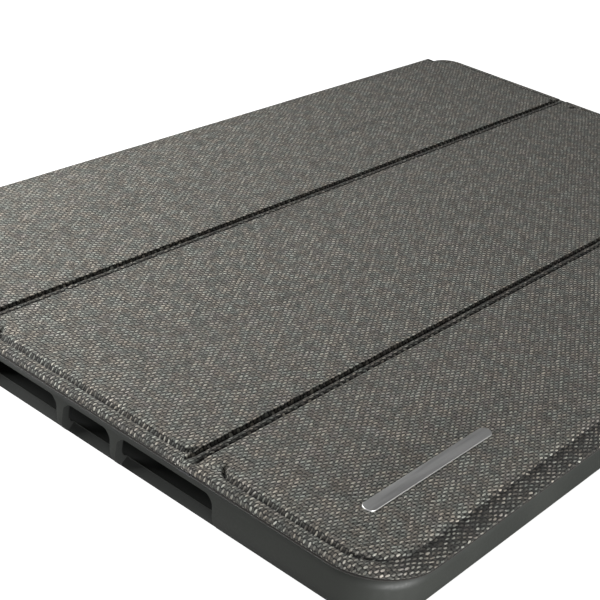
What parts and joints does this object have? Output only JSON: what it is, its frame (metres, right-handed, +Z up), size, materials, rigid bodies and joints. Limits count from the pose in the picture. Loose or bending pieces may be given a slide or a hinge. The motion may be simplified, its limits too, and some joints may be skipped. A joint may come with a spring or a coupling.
{
  "type": "tablet case",
  "caption": "Folding tablet case: a moulded tray with a lip, and a woven three-panel flap that opens on a hinged spine and folds back on itself.",
  "frame": {"origin": "middle of the closed case's bounding box in X and Y, on the plane that the tray's underside rests on", "axes": "+Y along the case's length, from the port end to the camera end; +X from the spine to the flap's free edge; +Z up, out of the flap when it is closed"},
  "size_m": [0.143, 0.209, 0.0126],
  "materials": {
    "tpu": "matt, soft moulded",
    "woven_skin": "coarse two-tone weave over a pressed laminate",
    "lining": "short-nap microfibre",
    "board": "glass-fibre board, hidden",
    "steel": "thin cold-rolled sheet, hidden",
    "magnet": "nickel plated, hidden",
    "badge_metal": "satin"
  },
  "bodies": {
    "tray": {"tray_shell": "tpu", "anchor_strip": "woven_skin", "spine_lower_fold": "woven_skin"},
    "volume_up": {"volume_up_button": "tpu"},
    "volume_down": {"volume_down_button": "tpu"},
    "power": {"power_button": "tpu"},
    "spine": {"spine_skin": "woven_skin", "spine_board": "board", "spine_lining": "lining", "spine_upper_fold": "woven_skin"},
    "panel_a": {"panel_a_skin": "woven_skin", "panel_a_board": "board", "panel_a_lining": "lining", "catch_plates": "steel", "fold_1_web": "woven_skin"},
    "panel_b": {"panel_b_skin": "woven_skin", "panel_b_board": "board", "panel_b_lining": "lining", "fold_2_web": "woven_skin"},
    "panel_c": {"panel_c_skin": "woven_skin", "panel_c_board": "board", "panel_c_lining": "lining", "closing_magnets": "magnet", "wake_magnet": "magnet", "badge": "badge_metal"}
  },
  "joints": [
    {"name": "spine_opening", "type": "hinge", "parent": "tray", "child": "spine", "pos_m": [-0.0704, 0, 0.0012], "axis": [0, -1, 0], "range_deg": [0, 179]},
    {"name": "cover_opening", "type": "hinge", "parent": "spine", "child": "panel_a", "pos_m": [-0.0704, 0, 0.0112], "axis": [0, -1, 0], "range_deg": [0, 179]},
    {"name": "fold_1", "type": "hinge", "parent": "panel_a", "child": "panel_b", "pos_m": [-0.0269, 0, 0.0123], "axis": [0, 1, 0], "range_deg": [-120, 0]},
    {"name": "fold_2", "type": "hinge", "parent": "panel_b", "child": "panel_c", "pos_m": [0.0292, 0, 0.0123], "axis": [0, 1, 0], "range_deg": [-170, 0]},
    {"name": "volume_up_press", "type": "slide", "parent": "tray", "child": "volume_up", "axis": [-1, 0, 0], "range_m": [0, 0.0005], "stiffness_N_per_m": 1500},
    {"name": "volume_down_press", "type": "slide", "parent": "tray", "child": "volume_down", "axis": [-1, 0, 0], "range_m": [0, 0.0005], "stiffness_N_per_m": 1500},
    {"name": "power_press", "type": "slide", "parent": "tray", "child": "power", "axis": [0, -1, 0], "range_m": [0, 0.0005], "stiffness_N_per_m": 1500}
  ]
}
